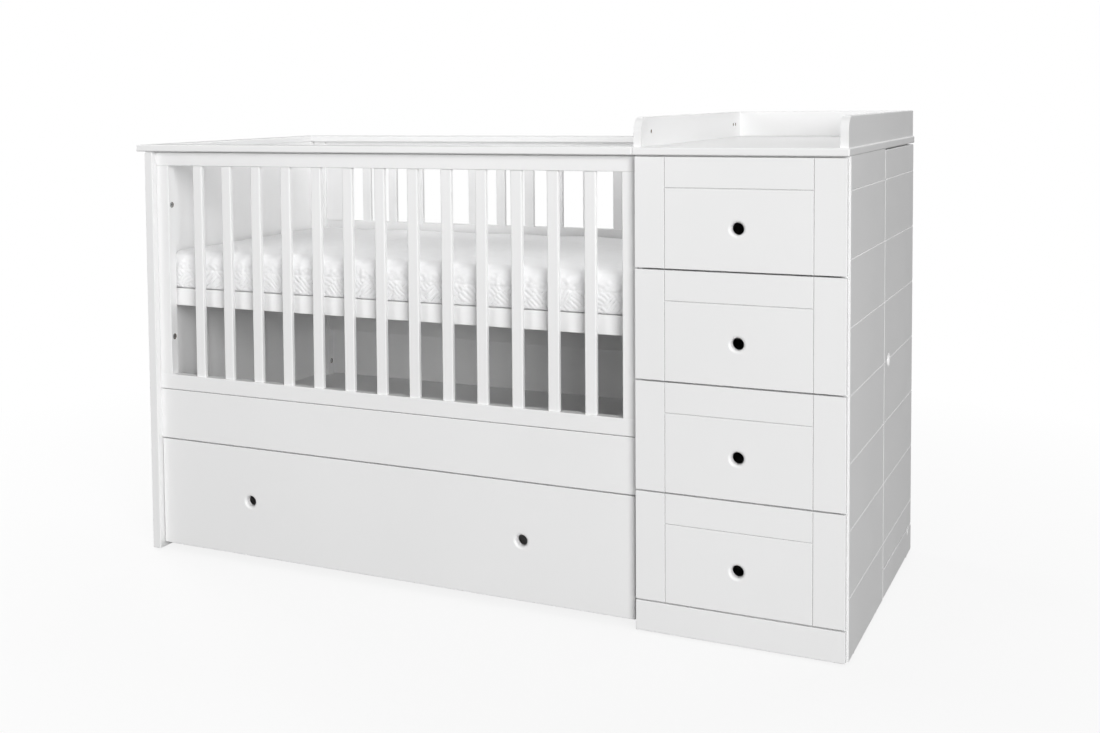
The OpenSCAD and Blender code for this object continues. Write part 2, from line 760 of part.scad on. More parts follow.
module drawer_tracks() color(steel)
    for (k = [0 : drawer_n - 1]) {
        translate([x_ci, slide_y, slide_z(k)]) track(slide_l);
        translate([x_cir, slide_y, slide_z(k)]) mirror([1, 0, 0]) track(slide_l);
    }

module bed_drawer_tracks() color(steel) {
    translate([x_in, bed_slide_y, bed_slide_z]) track(bed_slide_l);
    translate([x_cab, bed_slide_y, bed_slide_z]) mirror([1, 0, 0]) track(bed_slide_l);
}

module drawer_runners(k) color(steel) {
    translate([x_ci, slide_y, slide_z(k)]) runner(slide_l);
    translate([x_cir, slide_y, slide_z(k)]) mirror([1, 0, 0]) runner(slide_l);
}

module bed_drawer_runners() color(steel) {
    translate([x_in, bed_slide_y, bed_slide_z]) runner(bed_slide_l);
    translate([x_cab, bed_slide_y, bed_slide_z]) mirror([1, 0, 0]) runner(bed_slide_l);
}

// ---- Cabinet drawers ----

// Front with a routed frame pattern and a finger hole
module drawer_front(k) color(paint)
    translate([x_front, y_f, drawer_z(k)]) difference() {
        soft_board([front_w, front_t, front_h]);
        for (x = [groove_inset, front_w - groove_inset])
            translate([x, 0, -1]) groove_up(front_h + 2);
        translate([groove_inset, 0, front_h - groove_inset])
            groove_across(front_w - 2 * groove_inset);
        translate([front_w / 2, 0, hole_rise]) finger_cut(front_t);
        // Groove for the drawer bottom, in the back face
        translate([(front_w - box_w) / 2 + box_t - bottom_in, front_t - bottom_in,
                box_rise + bottom_rise - groove_clear])
            cube([box_w - 2 * box_t + 2 * bottom_in, bottom_in + 1, bottom_t + 2 * groove_clear]);
    }

// Two sides and a back, from the origin: w along X, l along Y
module box_frame(w, l, h, t, slot) {
    for (side = [0, 1])
        translate([side * w, 0, 0]) mirror([side, 0, 0]) difference() {
            cube([t, l, h]);
            translate([t - bottom_in, -1, bottom_rise - groove_clear])
                cube([bottom_in + 1, l + 2, slot + 2 * groove_clear]);
        }
    translate([t + assembly_gap, l - t, bottom_rise + slot + groove_clear])
        cube([w - 2 * t - 2 * assembly_gap, t, h - bottom_rise - slot - groove_clear]);
}

module drawer_box(k) color(raw_board)
    translate([x_ci + slide_gap, y_c, drawer_z(k) + box_rise])
        box_frame(box_w, box_l, box_h, box_t, bottom_t);

module drawer_bottom(k) color(raw_board)
    translate([x_ci + slide_gap + box_t - bottom_in + groove_clear, y_c - bottom_in + groove_clear,
            drawer_z(k) + box_rise + bottom_rise])
        cube([box_w - 2 * (box_t - bottom_in + groove_clear), box_l + bottom_in - groove_clear,
            bottom_t]);

// ---- Large drawer under the bed ----

module bed_drawer_front() color(paint)
    translate([x_in + bed_side_gap, y_c, z_0 + bed_front_z]) difference() {
        soft_board([inner_l - 2 * bed_side_gap, board_t, bed_front_h]);
        for (s = [-1, 1])
            translate([inner_l / 2 - bed_side_gap + s * bed_hole_span / 2, 0,
                    bed_hole_z - bed_front_z])
                finger_cut(board_t);
        translate([slide_gap + box_t - bottom_in - bed_side_gap, board_t - bottom_in,
                bed_bottom_z - z_0 - bed_front_z - groove_clear])
            cube([bed_box_w - 2 * (box_t - bottom_in), bottom_in + 1,
                bed_bottom_t + 2 * groove_clear]);
    }

module bed_drawer_box() color(raw_board)
    translate([x_in + slide_gap, y_c + board_t, bed_box_z])
        box_frame(bed_box_w, bed_box_l, bed_box_h, box_t, bed_bottom_t);

module bed_drawer_bottom() color(raw_board)
    translate([x_in + slide_gap + box_t - bottom_in + groove_clear,
            y_c + board_t - bottom_in + groove_clear, bed_bottom_z])
        cube([bed_box_w - 2 * (box_t - bottom_in + groove_clear),
            bed_box_l + bottom_in - groove_clear, bed_bottom_t]);

// Stiffener under the middle of the bottom, front to back
module bed_drawer_rib() color(raw_board)
    translate([x_in + (inner_l - bed_rib_w) / 2, y_c + board_t, bed_bottom_z - bottom_rise])
        cube([bed_rib_w, bed_box_l, bottom_rise]);

// ---- Side door ----

module side_door() color(paint) difference() {
    translate([x_cir, y_door, door_z]) soft_board([board_t, door_w, door_h]);
    plank_cuts(x_cabr, y_door - 1, door_w + 2);
    translate([x_cabr, y_door + door_hole_in, z_0 + door_hole_z]) rotate([0, 0, 90])
        finger_cut(board_t);
    for (k = [0 : hinge_n - 1])
        translate([x_cir - 1, y_cup, hinge_z(k)]) rotate([0, 90, 0])
            cylinder(d = cup_d, h = cup_deep + 1);
}

// Cups let into the door, each with a fixing plate on the door's inner face
module hinge_cups() color(steel)
    for (k = [0 : hinge_n - 1])
        translate([x_cir, y_cup, hinge_z(k)]) rotate([0, 90, 0]) difference() {
            union() {
                cylinder(d = cup_d - 2 * cup_clear, h = cup_deep - cup_clear);
                translate([0, 0, -cup_plate]) cylinder(d = cup_d + 2 * cup_plate, h = cup_plate);
                translate([-cup_plate_l / 2, -cup_plate_w / 2, -cup_plate])
                    cube([cup_plate_l, cup_plate_w, cup_plate]);
            }
            // Its floor is as thick as the fixing plate
            translate([0, 0, -cup_plate - 1])
                cylinder(d = cup_d - 3 * cup_plate, h = cup_deep - cup_clear + 1);
            for (s = [-1, 1])
                translate([s * (cup_plate_l - screw_d) * 0.45, 0, -cup_plate - 1])
                    cylinder(d = screw_d - 1, h = cup_plate + 2);
        }

// Hinge arms with their mounting plates on the cabinet's back board
wing_w = hinge_plate_l / 2;              // width of the mounting plate's wings
wing_t = 3;
block_t = 4;                             // height of the block on the wings
block_l = hinge_plate_l * 0.8;
block_w = arm_w + 4;
arm_base = wing_t + block_t;             // level of the arm's underside
arm_t = cup_plate_w * 0.3;
arm_lift = cup_in - board_t;             // how far the arm rises towards the cup's middle
arm_tip = 12;                            // straight end of the arm, in front of the cup
arm_bend = 10;

module hinge_arms() color(steel)
    for (k = [0 : hinge_n - 1])
        translate([x_cir - cup_plate - soft_gap, y_b - board_t, hinge_z(k)]) mirror([0, 1, 0]) {
            // Mounting plate: two screw wings with a block over them
            difference() {
                translate([-hinge_plate_in - wing_w, 0, -hinge_plate_l / 2])
                    cube([wing_w, wing_t, hinge_plate_l]);
                for (s = [-1, 1])
                    translate([-hinge_plate_in - wing_w / 2, -1, s * hinge_plate_l * 0.36])
                        rotate([-90, 0, 0]) cylinder(d = screw_d, h = wing_t + 2);
            }
            translate([-hinge_plate_in - (wing_w + block_l) / 2, wing_t, -block_w / 2])
                cube([block_l, block_t, block_w]);
            // Arm: a bent strap over the block, reaching to the cup
            translate([0, 0, -arm_w / 2]) linear_extrude(arm_w) {
                far = -hinge_plate_in - (wing_w + block_l) / 2;
                bend = -arm_tip - arm_bend;
                polygon([[far, arm_base], [far, arm_base + arm_t], [bend, arm_base + arm_t],
                    [-arm_tip, arm_base + arm_t + arm_lift], [0, arm_base + arm_t + arm_lift],
                    [0, arm_base + arm_lift], [-arm_tip, arm_base + arm_lift], [bend, arm_base]]);
            }
        }

// ---- Feet ----

module glides() color([0.85, 0.85, 0.85]) {
    for (x = [x_end + panel_t / 2, x_cab + board_t / 2, x_cir + board_t / 2],
            y = [y_c + glide_in, y_b - glide_in])
        translate([x, y, 0]) cylinder(d = glide_d, h = glide_h);
}

// ---- Assembly ----

left_end_panel();
front_cap();
left_cap();
back_cap();
front_rails();
front_stiles();
front_slats();
front_apron();
back_top_rail();
back_post();
back_stiles();
back_slats();
back_panel();
lower_back_board();
frame_bolts();
dust_shelf();
base_frame();
base_slats();
base_bolts();
mattress();
cabinet_left_side();
cabinet_right_side();
cabinet_plinths();
cabinet_top();
cabinet_bottom();
cabinet_divider();
cabinet_back();
cabinet_rails();
cupboard_shelves();
shelf_pins();
tray_sides();
tray_back();
drawer_tracks();
bed_drawer_tracks();
glides();
hinge_arms();
cover_cap();
drawer_front(0);  // drawer_1_front
drawer_box(0);  // drawer_1_box
drawer_bottom(0);  // drawer_1_bottom
drawer_runners(0);  // drawer_1_runners
drawer_front(1);  // drawer_2_front
drawer_box(1);  // drawer_2_box
drawer_bottom(1);  // drawer_2_bottom
drawer_runners(1);  // drawer_2_runners
drawer_front(2);  // drawer_3_front
drawer_box(2);  // drawer_3_box
drawer_bottom(2);  // drawer_3_bottom
drawer_runners(2);  // drawer_3_runners
drawer_front(3);  // drawer_4_front
drawer_box(3);  // drawer_4_box
drawer_bottom(3);  // drawer_4_bottom
drawer_runners(3);  // drawer_4_runners
bed_drawer_front();
bed_drawer_box();
bed_drawer_bottom();
bed_drawer_rib();
bed_drawer_runners();
side_door();
hinge_cups();
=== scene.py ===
"""Looks of the crib with attached changer: lacquer, steel, plastic, a quilted mattress, light and
camera."""

import json
import math

import bpy
import numpy as np
from mathutils import Matrix, Vector


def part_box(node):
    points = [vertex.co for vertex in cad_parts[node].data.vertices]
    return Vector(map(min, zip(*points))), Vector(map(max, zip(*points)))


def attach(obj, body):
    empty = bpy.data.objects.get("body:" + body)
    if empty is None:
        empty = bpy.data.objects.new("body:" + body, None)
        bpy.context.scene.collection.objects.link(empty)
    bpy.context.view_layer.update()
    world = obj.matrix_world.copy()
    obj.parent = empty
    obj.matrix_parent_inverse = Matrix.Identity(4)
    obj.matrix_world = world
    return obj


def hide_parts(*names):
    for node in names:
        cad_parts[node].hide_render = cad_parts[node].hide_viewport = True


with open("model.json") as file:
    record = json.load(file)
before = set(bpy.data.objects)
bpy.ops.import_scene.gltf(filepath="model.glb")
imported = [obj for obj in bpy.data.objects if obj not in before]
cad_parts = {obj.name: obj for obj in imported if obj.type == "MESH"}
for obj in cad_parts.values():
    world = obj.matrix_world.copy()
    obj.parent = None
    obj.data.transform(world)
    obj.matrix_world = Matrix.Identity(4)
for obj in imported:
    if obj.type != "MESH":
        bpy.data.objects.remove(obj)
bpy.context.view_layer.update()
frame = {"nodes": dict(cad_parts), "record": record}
nodes = frame["nodes"]
scene = bpy.context.scene

# Camera, from the photograph's straight edges: pixels, metres and degrees
PHOTO_W = 1100
PHOTO_H = 733
FOCAL_PX = 1421.1
AXIS_PX = (406.9, 182.1)
CAMERA_AT = (1.367, -3.1638, 1.1082)
CAMERA_TURN = 27.949
CAMERA_PITCH = -3.354
CAMERA_ROLL = 0.740
SENSOR_MM = 36.0
VIEW_LIMIT = 100

# Studio lamps in metres and watts: name, place, aim, width, height, power. The photograph's shadows
# come from the two keys, far off to the right front. front_left lifts the crib's left end, the next
# three light its inside, and back_left lights the sides that the camera can't see.
WORLD_LEVEL = 0.18
LAMPS = [
    ("key", (7.6, -8.5, 4.4), (-0.2, 0, 0.5), 5.6, 4.4, 790),
    ("key_low", (7.6, -8.5, 1.8), (-0.2, 0, 0.5), 5.6, 2.4, 312),
    ("front_left", (-1.8, -4.2, 1.4), (-0.2, 0, 0.5), 1.6, 1.2, 38),
    ("left_top", (-2.6, 0.4, 3.2), (0.1, 0, 0.7), 1.5, 1.5, 27),
    ("top", (-0.1, -0.6, 3.4), (-0.1, -0.2, 0), 2.4, 2, 7),
    ("back", (0, 7, 5.5), (-0.2, 0, 0.5), 8, 5, 245),
    ("back_left", (-7, 3.4, 2.2), (-0.2, 0, 0.5), 3, 3, 240),
]

# Floor: half its side, how white it shows near the object before its shading, and the distances
# from the middle between which it turns into the white of the backdrop
FLOOR_HALF = 60.0
FLOOR_WHITE = 0.85
FADE_FROM = 1.0
FADE_TO = 2.4
# How pale its shading is, and how much light it throws back on the object
FLOOR_TONE = 0.8
FLOOR_BOUNCE = 0.12

# Painted shade in crevices: how near a wall must be for the colour to darken, and how dark it gets
# there. The routed lines of the front are painted dark, and the grooves of the planked sides stay
# bright, as in the photograph.
GROOVE_REACH = 0.003
FRONT_GROOVE_SHADE = 0.12
SIDE_GROOVE_SHADE = 0.97
PLANKED_SIDES = ("left_end_panel", "cabinet_right_side", "side_door")
# The same painted shade for the creases of the mattress cover
CREASE_REACH = 0.004
CREASE_SHADE = 0.25

# Tints of the greys: coated board a little warm, cotton and zinc a little cool
BOARD_TINT = (1, 0.995, 0.985)
COTTON_TINT = (1, 1, 1.005)
ZINC_TINT = (1, 1.01, 1.03)

# Drilled holes along X: the nodes that have them, the widest bore, the step off a face before
# looking for walls, the ways a hole's floor looks for them, and how far a wall may lean to X
DRILLED = ("tray_sides", "front_stiles", "back_post")
BORE_WIDEST = 0.0145
BORE_STEP = 0.0005
BORE_WAYS = [(0, 1, 0), (0, -1, 0), (0, 0, 1), (0, 0, -1)]
WALL_LEAN = 0.05

# Mattress, in metres: a smooth top that rolls over its edges down to a seam, and a quilted border
# below the seam. First its mesh: the cells' size, and points nearer than a micrometre are one.
CELL_ALONG = 0.002
CELL_ACROSS = 0.008
WELD_SCALE = 1e6
# The rounding of its edges, the rise of its top and how far its long sides pull in
SIDE_ROUND = 0.016
TOP_ROUND = 0.030
BACK_ROUND = 0.012
BOTTOM_ROUND = 0.005
CROWN = 0.004
WAIST = 0.003
# The seam's height, depth and width, and the height over which the quilting dies out below it
SEAM_UP = 0.048
SEAM_DEPTH = 0.0008
SEAM_WIDTH = 0.0018
SEAM_FADE = 0.006
# The border: how far it bulges, its ripples with the share of their height that lies below the
# surface, the stitch lines, the size of the random tables, and the share of left-leaning diamonds
BORDER_BULGE = 0.0016
RIPPLE_PITCH = 0.0092
RIPPLE_DEPTH = 0.0032
RIPPLE_CREASE = 0.45
RIPPLE_BELOW = 0.7
STITCH_PITCH = 0.030
STITCH_DEPTH = 0.0006
STITCH_WIDTH = 0.0016
STITCH_WANDER = 0.002
DIAMOND_TABLE = 97
DIAMOND_SEED = 4
LEAN_SHARE = 0.65
# Soft folds of the top, crumples of the roll above the seam, and waves of the hem on the frame
FOLD_DEPTH = 0.0016
CRUMPLE_DEPTH = 0.0006
HEM_LIFT = 0.0012
HEM_HEIGHT = 0.012
# Faces that look down more steeply than this lie on the slats and have no folds
UNDERSIDE = -0.5
# A soft field: how many waves it adds up, and how their lengths spread round the given one
FIELD_WAVES = 14
FIELD_SPREAD = (0.7, 1.8)


# ---- Materials ----

def new_material(name):
    """An empty material with a Principled shader, its node tree and its shader."""
    material = bpy.data.materials.new(name)
    material.use_nodes = True
    tree = material.node_tree
    return material, tree, tree.nodes["Principled BSDF"]


def add(tree, kind, **sockets):
    """A new node with the given input values; an underscore stands for a space."""
    node = tree.nodes.new(kind)
    for key, value in sockets.items():
        node.inputs[key.replace("_", " ")].default_value = value
    return node


def combine(tree, operation, first, second):
    """The result of a Math node on two sockets."""
    node = tree.nodes.new("ShaderNodeMath")
    node.operation = operation
    tree.links.new(first, node.inputs[0])
    tree.links.new(second, node.inputs[1])
    return node.outputs["Value"]


def mix_surfaces(tree, share, first, second, output):
    """Sends two shaders to the tree's output node, the second by the given share."""
    mix = tree.nodes.new("ShaderNodeMixShader")
    tree.links.new(share, mix.inputs["Fac"])
    tree.links.new(first, mix.inputs[1])
    tree.links.new(second, mix.inputs[2])
    tree.links.new(mix.outputs["Shader"], tree.nodes[output].inputs["Surface"])


def object_noise(tree, scale, detail, stretch=(1, 1, 1)):
    """Noise in the piece's own space, in metres, with its own scale along each axis."""
    place = tree.nodes.new("ShaderNodeTexCoord")
    mapping = add(tree, "ShaderNodeMapping", Scale=stretch)
    noise = add(tree, "ShaderNodeTexNoise", Scale=scale, Detail=detail)
    tree.links.new(place.outputs["Object"], mapping.inputs["Vector"])
    tree.links.new(mapping.outputs["Vector"], noise.inputs["Vector"])
    return noise.outputs["Fac"]


def grey(value, tint=(1, 1, 1)):
    """A grey of the given level, tinted."""
    return tuple(value * t for t in tint)


def ramp(tree, source, low, high, start=0.3, end=0.7):
    """A two-stop colour ramp over a 0 to 1 value."""
    node = tree.nodes.new("ShaderNodeValToRGB")
    node.color_ramp.elements[0].position = start
    node.color_ramp.elements[1].position = end
    node.color_ramp.elements[0].color = (*low, 1)
    node.color_ramp.elements[1].color = (*high, 1)
    tree.links.new(source, node.inputs["Fac"])
    return node.outputs["Color"]


def vary_roughness(tree, shader, source, low, high):
    """Spreads the shader's roughness over a 0 to 1 value."""
    spread = add(tree, "ShaderNodeMapRange", To_Min=low, To_Max=high)
    tree.links.new(source, spread.inputs["Value"])
    tree.links.new(spread.outputs["Result"], shader.inputs["Roughness"])


def bump(tree, shader, heights, distance, strength, normal=None):
    """Gives the shader a bump, on top of another one's normal where that is given."""
    node = add(tree, "ShaderNodeBump", Strength=strength, Distance=distance)
    tree.links.new(heights, node.inputs["Height"])
    if normal is not None:
        tree.links.new(normal, node.inputs["Normal"])
    tree.links.new(node.outputs["Normal"], shader.inputs["Normal"])
    return node.outputs["Normal"]


def paint_crevice_shade(tree, tone, reach, darkest):
    """The colour with painted shade in its crevices: darker where a wall of the same piece is
    within reach.
    """
    crevice = add(tree, "ShaderNodeAmbientOcclusion", Distance=reach)
    crevice.only_local = True
    crevice.samples = 8
    shade = ramp(tree, crevice.outputs["AO"], grey(darkest), grey(1.0), start=0.15, end=0.85)
    mix = tree.nodes.new("ShaderNodeMix")
    mix.data_type = "RGBA"
    mix.blend_type = "MULTIPLY"
    mix.inputs["Factor"].default_value = 1.0
    # A Mix node has sockets for every data type: inputs 6 and 7 and output 2 are the colours
    tree.links.new(tone, mix.inputs[6])
    tree.links.new(shade, mix.inputs[7])
    return mix.outputs[2]


def lacquer(name, groove_shade):
    """Satin white lacquer on fibreboard: a faint orange peel, slow changes of tone and gloss, and
    painted shade in the routed lines and joints."""
    material, tree, shader = new_material(name)
    tone = ramp(tree, object_noise(tree, scale=2.2, detail=3.0), grey(0.885), grey(0.905))
    # Painted shade: the colour darkens in the routed lines and joints, where ambient occlusion
    # finds a near wall
    shaded_tone = paint_crevice_shade(tree, tone, GROOVE_REACH, groove_shade)
    tree.links.new(shaded_tone, shader.inputs["Base Color"])
    smears = object_noise(tree, scale=14.0, detail=4.0)
    vary_roughness(tree, shader, smears, low=0.30, high=0.42)
    peel = object_noise(tree, scale=420.0, detail=2.0)
    bump(tree, shader, peel, distance=0.00012, strength=0.35)
    shader.inputs["Specular IOR Level"].default_value = 0.5
    return material


def inner_board():
    """Matt white coated board: fine pearl texture, a little warmer than the lacquer."""
    material, tree, shader = new_material("inner_board")
    slow = object_noise(tree, scale=5.0, detail=4.0)
    tone = ramp(tree, slow, grey(0.82, BOARD_TINT), grey(0.85, BOARD_TINT))
    tree.links.new(tone, shader.inputs["Base Color"])
    pearls = object_noise(tree, scale=900.0, detail=3.0)
    vary_roughness(tree, shader, pearls, low=0.45, high=0.6)
    bump(tree, shader, pearls, distance=0.0002, strength=0.4)
    return material


def zinc():
    """Zinc-plated steel with fine drawn streaks along Y."""
    material, tree, shader = new_material("steel")
    streaks = object_noise(tree, scale=260.0, detail=4.0, stretch=(1, 0.04, 1))
    tone = ramp(tree, streaks, grey(0.50, ZINC_TINT), grey(0.68))
    tree.links.new(tone, shader.inputs["Base Color"])
    shader.inputs["Metallic"].default_value = 1.0
    vary_roughness(tree, shader, streaks, low=0.26, high=0.42)
    bump(tree, shader, streaks, distance=0.0001, strength=0.25)
    return material


def moulded_plastic():
    """Matt white moulded plastic."""
    material, tree, shader = new_material("white_plastic")
    grain = object_noise(tree, scale=1500.0, detail=2.0)
    tree.links.new(ramp(tree, grain, grey(0.80), grey(0.83)), shader.inputs["Base Color"])
    shader.inputs["Roughness"].default_value = 0.5
    bump(tree, shader, grain, distance=0.0001, strength=0.3)
    return material


def quilted_cloth():
    """White cotton cover: a fine weave with loose threads, a soft sheen and painted shade in its
    creases.
    """
    material, tree, shader = new_material("quilted_cover")
    place = tree.nodes.new("ShaderNodeTexCoord")
    threads = []
    for turn in (math.radians(45), math.radians(-45)):
        mapping = add(tree, "ShaderNodeMapping", Rotation=(0.6, 0.5, turn))
        wave = add(tree, "ShaderNodeTexWave", Scale=520.0, Distortion=1.2, Detail=2.0)
        tree.links.new(place.outputs["Object"], mapping.inputs["Vector"])
        tree.links.new(mapping.outputs["Vector"], wave.inputs["Vector"])
        threads.append(wave.outputs["Fac"])
    weave = combine(tree, "MULTIPLY", *threads)
    slubs = object_noise(tree, scale=60.0, detail=4.0)
    tone = ramp(tree, slubs, grey(0.90, COTTON_TINT), grey(0.93, COTTON_TINT))
    # Painted shade: the cover's colour darkens in its creases, where ambient occlusion finds a near
    # wall
    crease_shaded = paint_crevice_shade(tree, tone, CREASE_REACH, CREASE_SHADE)
    tree.links.new(crease_shaded, shader.inputs["Base Color"])
    shader.inputs["Roughness"].default_value = 0.9
    shader.inputs["Sheen Weight"].default_value = 0.25
    shader.inputs["Sheen Roughness"].default_value = 0.5
    lumpy = bump(tree, shader, slubs, distance=0.0015, strength=0.35)
    bump(tree, shader, weave, distance=0.00025, strength=0.6, normal=lumpy)
    return material


def raw_core():
    """Bare fibreboard inside the drilled holes: brown, matt and fibrous."""
    material, tree, shader = new_material("raw_core")
    fibres = object_noise(tree, scale=700.0, detail=5.0)
    tone = ramp(tree, fibres, low=(0.13, 0.09, 0.06), high=(0.22, 0.165, 0.11))
    tree.links.new(tone, shader.inputs["Base Color"])
    shader.inputs["Roughness"].default_value = 0.95
    bump(tree, shader, fibres, distance=0.0003, strength=0.5)
    return material


MATERIALS = {
    "white_lacquer": lacquer("white_lacquer", FRONT_GROOVE_SHADE),
    "planked_lacquer": lacquer("planked_lacquer", SIDE_GROOVE_SHADE),
    "inner_board": inner_board(),
    "steel": zinc(),
    "white_plastic": moulded_plastic(),
    "quilted_cover": quilted_cloth(),
    "raw_core": raw_core(),
}


def dress_cad_nodes():
    """Gives every CAD node the material of its slot in the record, and the planked sides their own
    lacquer."""
    for part in frame["record"]["subparts"]:
        obj = nodes[part["node"]]
        slot = "planked_lacquer" if part["node"] in PLANKED_SIDES else part["material_slot"]
        obj.data.materials.clear()
        obj.data.materials.append(MATERIALS[slot])


def bare_bores(name):
    """Gives the walls and floors of a node's narrow holes along X the bare core, where no lacquer
    reaches. A wall has the other side straight across, and a floor has walls on four sides."""
    obj = nodes[name]
    obj.data.materials.append(MATERIALS["raw_core"])
    for face in obj.data.polygons:
        start = face.center + face.normal * BORE_STEP
        ways = [face.normal] if abs(face.normal.x) < WALL_LEAN else BORE_WAYS
        if all(obj.ray_cast(start, way, distance=BORE_WIDEST)[0] for way in ways):
            face.material_index = 1


# ---- Mattress ----

def box_shell(size, cells):
    """Points and quads of a box's faces, cut into cells, with shared points along the edges."""
    counts = [max(2, round(s / c)) for s, c in zip(size, cells)]
    points = []
    quads = []
    for axis in range(3):
        a, b = [i for i in range(3) if i != axis]
        for end in (0, 1):
            u = np.linspace(0, size[a], counts[a] + 1)
            v = np.linspace(0, size[b], counts[b] + 1)
            grid = np.zeros((len(u), len(v), 3))
            grid[:, :, a] = u[:, None]
            grid[:, :, b] = v[None, :]
            grid[:, :, axis] = size[axis] * end
            first = sum(len(p) for p in points)
            index = first + np.arange(len(u) * len(v)).reshape(len(u), len(v))
            corners = [index[:-1, :-1], index[1:, :-1], index[1:, 1:], index[:-1, 1:]]
            if (end == 0) == (axis != 1):
                corners.reverse()
            points.append(grid.reshape(-1, 3))
            quads.append(np.stack([c.ravel() for c in corners], axis=1))
    points = np.concatenate(points) - np.array(size) / 2
    quads = np.concatenate(quads)
    _, keep, back = np.unique(np.round(points * WELD_SCALE).astype(np.int64), axis=0,
                              return_index=True, return_inverse=True)
    return points[keep], back.ravel()[quads]


def soft_field(u, v, length, seed):
    """Smooth random height from -1 to 1 whose bumps are about as long as the given length."""
    draws = np.random.default_rng(seed)
    total = np.zeros_like(u)
    for _ in range(FIELD_WAVES):
        turn = draws.uniform(0, 2 * math.pi)
        rate = 2 * math.pi / (length * draws.uniform(*FIELD_SPREAD))
        start = draws.uniform(0, 2 * math.pi)
        total += np.sin((u * math.cos(turn) + v * math.sin(turn)) * rate + start)
    return total / math.sqrt(FIELD_WAVES)


def border_quilting(along, up):
    """Height of the quilted border: crossing stitch lines, and slanting ripples with sharp creases
    in each diamond between them, which lean one way or the other."""
    warp = soft_field(along, up, length=0.05, seed=3)
    slants = [(along + sign * up) / math.sqrt(2) + STITCH_WANDER * warp for sign in (1, -1)]
    cells = [np.floor(line / STITCH_PITCH).astype(int) % DIAMOND_TABLE for line in slants]
    draws = np.random.default_rng(DIAMOND_SEED)
    leans_left = draws.random((DIAMOND_TABLE, DIAMOND_TABLE))[cells[0], cells[1]] < LEAN_SHARE
    offset = draws.random((DIAMOND_TABLE, DIAMOND_TABLE))[cells[0], cells[1]]
    line = np.where(leans_left, slants[0], slants[1])
    wave = np.abs(np.sin(line * math.pi / RIPPLE_PITCH + math.pi * offset))
    height = RIPPLE_DEPTH * (wave ** RIPPLE_CREASE - RIPPLE_BELOW)
    for line in slants:
        from_line = np.abs((line / STITCH_PITCH + 0.5) % 1.0 - 0.5) * STITCH_PITCH
        near = np.exp(-(from_line / STITCH_WIDTH) ** 2)
        height = height * (1 - near) - STITCH_DEPTH * near
    return height


def round_edges(points, half):
    """The box's points drawn in to rounded edges, and their normals. The top edges are wide, the
    bottom ones, which rest on the slats, tight, and so are those pushed up against the back."""
    radius = np.full_like(points, SIDE_ROUND)
    front = points[:, 1] < 0
    above = points[:, 2] > 0
    at_back = points[:, 1] > half[1] / 2
    radius[:, 2] = np.where(above, np.where(at_back, BACK_ROUND, TOP_ROUND), BOTTOM_ROUND)
    radius[:, 1] = np.where(front, np.where(above, TOP_ROUND, SIDE_ROUND), BACK_ROUND)
    core = np.clip(points, radius - half, half - radius)
    out = (points - core) / radius
    out /= np.linalg.norm(out, axis=1)[:, None]
    normal = out / radius
    normal /= np.linalg.norm(normal, axis=1)[:, None]
    return core + out * radius, normal


def cover_relief(points, shape, normal, half):
    """How far the cover stands out of the rounded block at each point, and the point's place along
    the sides and height above the bottom. The border runs round the four sides, with the seam above
    it, and the smooth part has folds and crumples."""
    up = shape[:, 2] + half[2]
    on_end = np.abs(normal[:, 0]) > np.abs(normal[:, 1])
    # The ends go on with the pattern at a place beyond the long sides
    along = np.where(on_end, shape[:, 1] + 3 * half[1], shape[:, 0])
    upright = 1 - np.abs(normal[:, 2])
    border = upright * np.clip((SEAM_UP - up) / SEAM_FADE, 0, 1)
    seam = upright * np.exp(-((up - SEAM_UP) / SEAM_WIDTH) ** 2)
    bulge = BORDER_BULGE * np.sin(math.pi * np.clip(up / SEAM_UP, 0, 1))
    lift = border * (border_quilting(along, up) + bulge)
    lift -= SEAM_DEPTH * seam
    across = points[:, 1] - points[:, 2]
    folds = (soft_field(points[:, 0], across, length=0.09, seed=5) * 0.4
             + soft_field(0.4 * points[:, 0], across, length=0.045, seed=6) * 0.5)
    lift += (1 - border) * np.where(normal[:, 2] > UNDERSIDE, 1, 0) * FOLD_DEPTH * folds
    crumples = soft_field(along, up, length=0.013, seed=8)
    lift += upright * (1 - border) * CRUMPLE_DEPTH * crumples
    return lift, along, up


def make_mattress():
    """The mattress in its quilted cover, in the space of its CAD solid."""
    low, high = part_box("mattress")
    size = np.array(high - low)
    centre = np.array(low + high) / 2
    half = size / 2
    points, quads = box_shell(size, (CELL_ALONG, CELL_ACROSS, CELL_ALONG))
    shape, normal = round_edges(points, half)
    # The long sides pull in a little between the corners, and the top is crowned
    bow = 1 - (points / half) ** 2
    shape[:, 2] += CROWN * np.clip(points[:, 2] / half[2], 0, 1) * bow[:, 0] * bow[:, 1]
    shape[:, 1] -= WAIST * np.sign(points[:, 1]) * np.abs(normal[:, 1]) * bow[:, 0]
    lift, along, up = cover_relief(points, shape, normal, half)
    shape += normal * lift[:, None]
    # The border's lower edge waves a little where it meets the frame
    hem = np.clip(1 - up / HEM_HEIGHT, 0, 1) * np.clip(1 + normal[:, 2], 0, 1)
    shape[:, 2] += HEM_LIFT * hem * (1 + soft_field(along, up, length=0.022, seed=7)) * 0.5
    mesh = bpy.data.meshes.new("mattress_cover")
    mesh.from_pydata((shape + centre).tolist(), [], quads.tolist())
    mesh.validate()
    mesh.polygons.foreach_set("use_smooth", [True] * len(mesh.polygons))
    mesh.materials.append(MATERIALS["quilted_cover"])
    piece = bpy.data.objects.new("mattress_cover", mesh)
    scene.collection.objects.link(piece)
    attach(piece, "root")
    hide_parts("mattress")


# ---- Floor, light and camera ----

def background_rays(tree):
    """1 for the rays that show the white background: straight from the camera or through a clear
    piece. Reflections keep the studio's own level, because at the grazing angle of the photograph
    the cabinet's side would mirror the white floor, and there it doesn't."""
    rays = tree.nodes.new("ShaderNodeLightPath")
    return combine(tree, "MAXIMUM",
                   rays.outputs["Is Camera Ray"], rays.outputs["Is Transmission Ray"])


